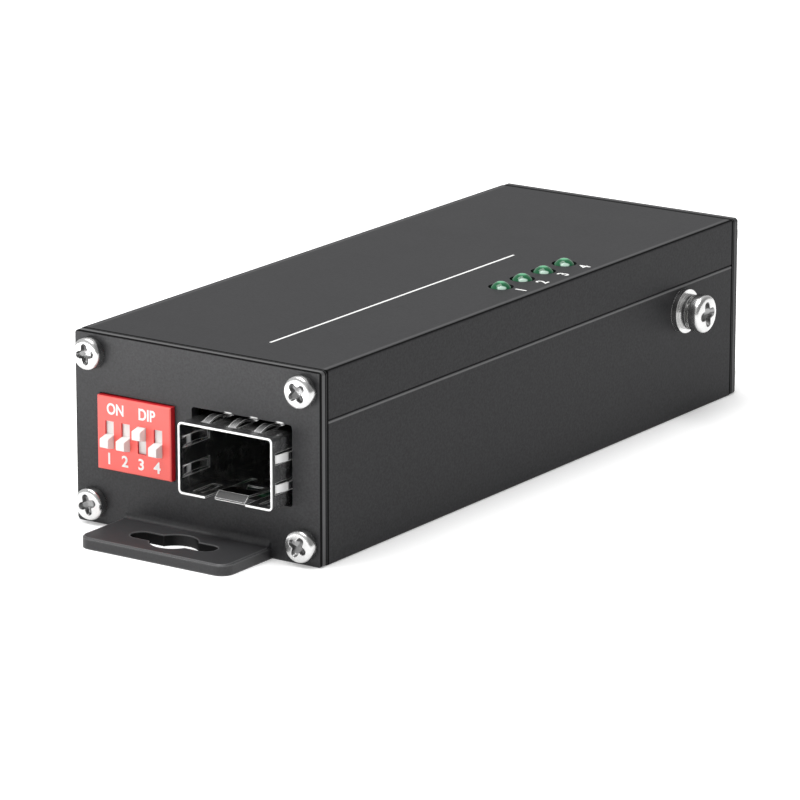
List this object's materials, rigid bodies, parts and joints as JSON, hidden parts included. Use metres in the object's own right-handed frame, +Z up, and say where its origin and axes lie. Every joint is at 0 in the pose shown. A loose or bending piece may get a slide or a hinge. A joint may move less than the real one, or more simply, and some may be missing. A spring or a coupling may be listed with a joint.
{
  "type": "fibre media converter",
  "caption": "Black two-part metal case with a mounting ear at each end, an SFP bay and red slide-switch bank in front, LEDs in the top and network and supply sockets behind.",
  "frame": {"origin": "centre of the case's underside, on the surface that the ears are screwed to", "axes": "+Z up out of the top with the LEDs, +Y from the fibre side to the network side, +X to the right for someone who looks at the fibre side"},
  "size_m": [0.042, 0.119, 0.0257],
  "materials": {
    "shell_black": "black anodised extrusion, fine matt",
    "plate_black": "black powder coat, fine texture",
    "nickel": "bright nickel plate",
    "cage_steel": "nickel-plated spring sheet",
    "switch_red": "moulded, satin",
    "slider_white": "moulded, matt",
    "led_green": "clear green epoxy",
    "tin": "tinned wire",
    "gold": "gold-plated contact",
    "board_green": "glass-epoxy laminate with green mask",
    "moulding_black": "moulded, matt",
    "package_black": "moulded package",
    "can_steel": "plain can",
    "ferrite": "moulded ferrite",
    "can_aluminium": "plain can",
    "header_green": "moulded, matt"
  },
  "bodies": {
    "case": {"lower_shell": "shell_black", "upper_shell": "shell_black", "front_plate": "plate_black", "rear_plate": "plate_black", "front_screws": "nickel", "rear_screws": "nickel", "ground_screw": "nickel", "ground_flat_washer": "nickel", "ground_lock_washer": "nickel", "main_board": "board_green", "sfp_cage": "cage_steel", "sfp_connector": "moulding_black", "sfp_contacts": "gold", "dip_housing": "switch_red", "dip_base": "moulding_black", "dip_pins": "gold", "led_1": "led_green", "led_2": "led_green", "led_3": "led_green", "led_4": "led_green", "led_leads": "tin", "led_spacer": "moulding_black", "port_shield": "cage_steel", "port_insert": "moulding_black", "port_contacts": "gold", "power_header": "header_green", "power_pins": "tin", "switch_chip": "package_black", "line_transformer": "package_black", "transformer_leads": "tin", "regulator_chip": "package_black", "regulator_leads": "tin", "crystal_can": "can_steel", "power_inductor": "ferrite", "capacitor_seats": "moulding_black", "bulk_capacitors": "can_aluminium"},
    "slider_1": {"dip_slider_1": "slider_white"},
    "slider_2": {"dip_slider_2": "slider_white"},
    "slider_3": {"dip_slider_3": "slider_white"},
    "slider_4": {"dip_slider_4": "slider_white"}
  },
  "joints": [
    {"name": "slider_1_slide", "type": "slide", "parent": "case", "child": "slider_1", "axis": [0, 0, 1], "range_m": [0, 0.00175]},
    {"name": "slider_2_slide", "type": "slide", "parent": "case", "child": "slider_2", "axis": [0, 0, 1], "range_m": [0, 0.00175]},
    {"name": "slider_3_slide", "type": "slide", "parent": "case", "child": "slider_3", "axis": [0, 0, 1], "range_m": [-0.00175, 0]},
    {"name": "slider_4_slide", "type": "slide", "parent": "case", "child": "slider_4", "axis": [0, 0, 1], "range_m": [0, 0.00175]}
  ]
}
